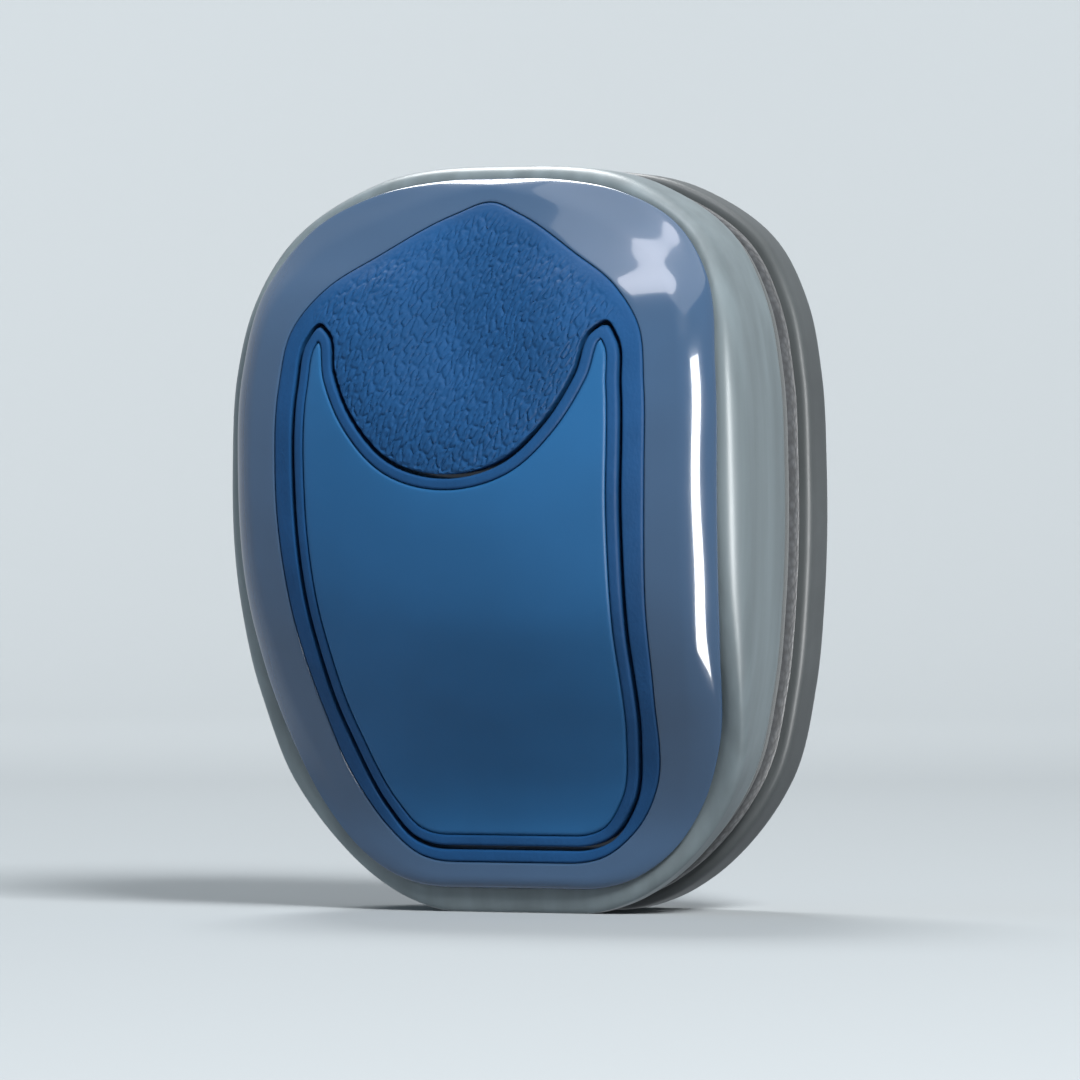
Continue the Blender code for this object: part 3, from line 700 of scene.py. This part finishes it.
def surround(finish):
    """The soft inlay round the palm panel, with its leather-grained thumb rest."""
    edge, hole = inset(ray_outline(INLAY, 480), SEAM / 2), even_outline(PANEL, PANEL_POINTS)
    loops = [edge, hole]
    fill = [
        lattice(loops, 0.14 * MM, 0.36 * MM, lambda plan: thumb_area(plan) > 0.02),
        lattice(loops, 0.55 * MM, 0.5 * MM, lambda plan: thumb_area(plan) <= 0.02),
    ]
    shape = slab(loops, grained_front(edge), inlay_back, fill, edge=LIP)
    return OUTER.add("grip_inlay", *shape, finish, "soft_grip", ["grip_surround"])


def bead(finish):
    """The thin rounded line between the two grooves round the panel."""
    line = even_outline(PANEL, PANEL_POINTS)
    loops = [pointed_inset(line, GROOVE_WIDTH), pointed_inset(line, 2 * CLEARANCE + BEAD_WIDTH - SEAM)]
    shape = slab(loops, front, inlay_back, edge=0.28 * MM)
    return OUTER.add("groove_bead", *shape, finish, "soft_grip", ["panel_bead"])


def panel(finish):
    """The smooth horned panel that the palm rests on."""
    edge = pointed_inset(even_outline(PANEL, PANEL_POINTS), 2 * CLEARANCE + BEAD_WIDTH)
    fill = [lattice([edge], 0.6 * MM, 0.5 * MM)]
    shape = slab([edge], front, inlay_back, fill, edge=SOFT_EDGE)
    return OUTER.add("palm_inlay", *shape, finish, "smooth_panel", ["palm_panel"])


# Pieces of the inner half


def tank_casing(finish):
    """The dark tank-side casing with its rounded back and the sunk bed of its grip."""
    outside, cover = ray_outline(CASING), ray_outline(COVER)
    bed, within = inset(ray_outline(INNER_GRIP), -SEAM / 2), inset(cover, SKIRT_LEDGE)
    top, radius = inner_back(outside), INNER_EDGE_RADIUS
    rings = []
    for inwards, down in reversed(edge_round(CASING_EDGE)):
        rings.append(lift(inset(outside, inwards), INNER_BASE_START + down))
    side = top - radius - INNER_BASE_START - CASING_EDGE
    for share in (0.25, 0.5, 0.75):
        rings.append(lift(outside, INNER_BASE_START + CASING_EDGE + side * share))
    rings += [lift(inset(outside, inwards), top - down) for inwards, down in edge_round(radius, 15)]
    rim = inset(outside, radius)
    for share in (0.15, 0.3, 0.45, 0.6, 0.75, 0.88, 0.95):
        plan = rim + (bed - rim) * share
        blend = ease(np.full(len(plan), share), 0, 0.3)
        rings.append(lift(plan, inner_back(plan) * blend + top * (1 - blend)))
    for inwards, down in reversed(edge_round(SOFT_EDGE, 6)):
        plan = inset(bed, -inwards)
        rings.append(lift(plan, inner_back(plan) - down))
    for share in (1.0, 0.8, 0.6, 0.4, 0.2):
        plan = toward_middle(bed, share)
        rings.append(lift(plan, inner_back(plan) - BED_DEPTH))
    middle = np.array([[0, MIDDLE_Z]])
    floor = inner_back(middle) - BED_DEPTH
    rings += [lift(middle, floor), lift(middle, floor - INNER_WALL)]
    for share in (0.25, 0.5, 0.75, 1.0):
        plan = toward_middle(bed, share)
        rings.append(lift(plan, inner_back(plan) - BED_DEPTH - INNER_WALL))
    rings.append(lift(inset(within, INNER_WALL), top - radius * 0.7))
    rings += [lift(within, top - radius * 1.2), lift(within, INNER_BASE_START)]
    return INNER.add("tank_casing", *loft(rings, cycle=True), finish, "dark_casing", ["inner_shell"])


def ribbed(plan):
    """The outside of the inner grip, with ribs that fade out towards its sides."""
    place = (plan[:, 1] - MIDDLE_Z) / RIB_PITCH
    wave = np.where(np.abs(place) < RIB_COUNT / 2, 0.5 + 0.5 * np.cos(math.tau * place), 0)
    fade = ease(RIB_HALF_LENGTH - np.abs(plan[:, 0]), 0, RIB_FADE)
    return inner_back(plan) + RIB_HEIGHT * wave * fade


def tank_grip(finish):
    """The ribbed soft grip of the inner half."""
    edge = inset(ray_outline(INNER_GRIP), SEAM / 2)
    fill = [lattice([edge], 0.42 * MM, 0.45 * MM)]
    shape = slab([edge], ribbed, lambda plan: inner_back(plan) - INLAY_THICKNESS, fill, edge=SOFT_EDGE)
    return INNER.add("tank_grip", *shape, finish, "soft_grip", ["inner_grip"])


# Pads


def pad(half, name, thickness, lump, seed, finish, slot, replaces):
    """A pad whose pile swells past its solid, with an uneven face and a soft bulging edge."""
    outline = inset(ray_outline(CASING), PAD_INSET)
    reach = PILE + thickness
    rings = []
    for turn in np.linspace(-math.pi / 2, math.pi / 2, 11):
        swell = 0.5 * MM * (1 - math.cos(turn))
        plan = inset(outline, swell)
        rise = thickness / 2 - PILE / 2 - reach / 2 * math.sin(turn)
        wobble = lump * 0.25 * ripple(plan + seed * MM, 3 * MM, seed) * math.cos(turn)
        rings.append(lift(inset(plan, -wobble - 0.1 * MM), rise))
    for share in np.linspace(0.97, 0.02, 30):
        plan = toward_middle(inset(outline, 0.5 * MM), share)
        rings.append(lift(plan, -PILE + lump * (0.5 + 0.5 * ripple(plan, 2.6 * MM, seed + 1))))
    middle = np.array([[0, MIDDLE_Z]])
    rings.append(lift(middle, -PILE))
    rings.insert(0, lift(middle, thickness))
    piece = half.add(name, *loft(rings), finish, slot, replaces)
    return piece


# Stage, light and camera

FLAT_FLOOR = 0.9  # radius of the flat part of the floor
SWEEP = 0.6  # radius of its sweep up into the wall
VIEW_AZIMUTH = 22.5
VIEW_DISTANCE = 0.8
FRAMED_HEIGHT = 0.106  # of the frame at the cleaner's distance
SENSOR_WIDTH = 36  # mm
MIDDLE_HEIGHT = HEIGHT * 0.5


def look_at(item, place, target):
    """Put a light or a camera at a place and turn it to its target."""
    item.location = place
    item.rotation_euler = (Vector(target) - Vector(place)).to_track_quat("-Z", "Y").to_euler()


def around(azimuth, distance, height):
    """A place at an azimuth in degrees, counted from -Y towards +X, about the cleaner's upright axis."""
    turn = math.radians(azimuth)
    return (distance * math.sin(turn), -distance * math.cos(turn), height)


def area_light(name, place, size, power, target=None, colour=(1, 1, 1), shape="RECTANGLE"):
    """A soft box that no camera sees, aimed at the cleaner's middle unless told otherwise."""
    light = bpy.data.lights.new(name, "AREA")
    light.shape = shape
    light.size, light.size_y = size
    light.energy = power
    light.color = colour
    item = bpy.data.objects.new(name, light)
    item.visible_camera = False
    look_at(item, place, target or (0, 0, MIDDLE_HEIGHT))
    bpy.context.scene.collection.objects.link(item)
    return item


def gloss_card(*arguments, **settings):
    """A soft box that shows only as a reflection and lights nothing else."""
    area_light(*arguments, **settings).visible_diffuse = False


def backdrop():
    """A pale round floor that sweeps up into a low wall all round the cleaner."""
    around_once = np.linspace(0, math.tau, 96, endpoint=False)
    rings = [np.zeros((1, 3))]
    for turn in np.linspace(0, math.pi / 2, 16):
        radius = FLAT_FLOOR + SWEEP * math.sin(turn)
        height = np.full(len(around_once), SWEEP * (1 - math.cos(turn)))
        rings.append(np.column_stack([radius * np.cos(around_once), radius * np.sin(around_once), height]))
    points, faces = loft(rings)
    mesh = bpy.data.meshes.new("backdrop")
    mesh.from_pydata(points.tolist(), [], faces)
    mesh.shade_smooth()
    paper = Finish("paper_backdrop", (0.34, 0.365, 0.38), 0.8, **{"Specular IOR Level": 0.0})
    mesh.materials.append(paper.material)
    item = bpy.data.objects.new("backdrop", mesh)
    item.visible_glossy = False
    bpy.context.scene.collection.objects.link(item)


def room():
    """A dim even room, whose pale walls show more in gloss than they light."""
    world = bpy.data.worlds.new("room")
    world.use_nodes = True
    tree = world.node_tree
    ray = tree.nodes.new("ShaderNodeLightPath")
    strength = tree.nodes.new("ShaderNodeMath")
    strength.operation = "MULTIPLY_ADD"
    strength.inputs[1].default_value = 0.32
    strength.inputs[2].default_value = 0.16
    tree.links.new(ray.outputs["Is Glossy Ray"], strength.inputs[0])
    tree.links.new(strength.outputs[0], tree.nodes["Background"].inputs["Strength"])
    tree.nodes["Background"].inputs["Color"].default_value = (0.86, 0.93, 1, 1)
    return world


def studio():
    """The backdrop, the lights and the camera."""
    backdrop()
    scene = bpy.context.scene
    scene.view_settings.view_transform = "Standard"
    scene.world = room()
    behind = VIEW_AZIMUTH + 180
    key = area_light("key", around(48, 0.95, 0.85), (0.4, 0.4), 27)
    key.visible_glossy = False
    left_fill = area_light("left_fill", around(-68, 0.7, 0.2), (0.5, 0.6), 1.5, colour=(0.6, 0.82, 1))
    left_fill.visible_glossy = False
    area_light("back_light", around(215, 0.6, 0.9), (0.4, 0.4), 8.5)
    for azimuth, power in ((behind, 15), (270, 9)):
        wall = around(azimuth, 1.7, 0.6)
        area_light("wall_wash", around(azimuth, 0.7, 0.9), (1.2, 0.3), power, target=wall)
    gloss_card("overhead_panel", (0.2, 0, 0.74), (0.8, 0.8), 2.6, target=(0.2, 0, 0))
    gloss_card("corner_box", around(20, 0.22, 0.66), (0.29, 0.23), 1.0,
               colour=(0.97, 0.95, 1), shape="ELLIPSE")
    gloss_card("edge_strip", around(66.4, 0.081, 0.025), (0.015, 0.11), 0.14)
    camera = bpy.data.objects.new("camera", bpy.data.cameras.new("camera"))
    aim = (0.0025, 0, MIDDLE_HEIGHT)
    look_at(camera, around(VIEW_AZIMUTH, VIEW_DISTANCE, MIDDLE_HEIGHT), aim)
    camera.data.sensor_width = SENSOR_WIDTH
    camera.data.lens = SENSOR_WIDTH * VIEW_DISTANCE / FRAMED_HEIGHT
    camera.data.clip_start = 0.01
    scene.collection.objects.link(camera)
    scene.camera = camera


def refinish(finish, *nodes):
    """Give nodes that stay in sight, or that show only when the cleaner is apart, their material."""
    for name in nodes:
        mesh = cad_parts[name].data
        mesh.materials.clear()
        mesh.materials.append(finish)


def hidden_finishes():
    """The materials of the nodes that keep their own meshes."""
    halves = ("outer", "inner")
    magnets = [f"{half}_magnet_{side}" for half in halves for side in ("left", "right")]
    screws = [f"{half}_screw_{number}" for half in halves for number in (1, 2, 3)]
    plates = [f"{half}_{part}" for half in halves for part in ("base_plate", "magnet_frame")]
    keepers = [f"{half}_keeper_plate" for half in halves]
    refinish(moulded("base_plastic", (0.1, 0.108, 0.115), 0.5), *plates)
    refinish(moulded("sintered_magnet", (0.05, 0.05, 0.055), 0.6, 0.15), *magnets)
    refinish(drawn_metal("steel", (0.6, 0.6, 0.62), 0.34), *keepers, *screws)
    refinish(moulded("adhesive_film", (0.12, 0.13, 0.13), 0.5), "felt_adhesive")
    refinish(moulded("hook_tape", (0.03, 0.03, 0.032), 0.85, 0.5), "hook_tape")
    refinish(moulded("gasket_rubber", (0.02, 0.02, 0.021), 0.7), "inner_gasket")
    refinish(moulded("float_foam", (0.75, 0.75, 0.7), 0.9, 0.6), "upper_float", "lower_float")


def main():
    """Every piece of both halves, then the studio round them."""
    soft = soft_blue()
    outer_cover(slate_gloss())
    skirt(pale_casing())
    surround(soft)
    bead(soft)
    panel(smooth_blue())
    tank_casing(dark_casing())
    tank_grip(soft)
    pad(OUTER, "felt", FELT_THICKNESS, 0.05 * MM, 11, felt_grey(), "felt", ["felt_pad"])
    pad(INNER, "scrubber", SCRUB_THICKNESS, 0.12 * MM, 23, scrub_black(), "scrub_pad", ["scrub_pad"])
    hidden_finishes()
    studio()


main()
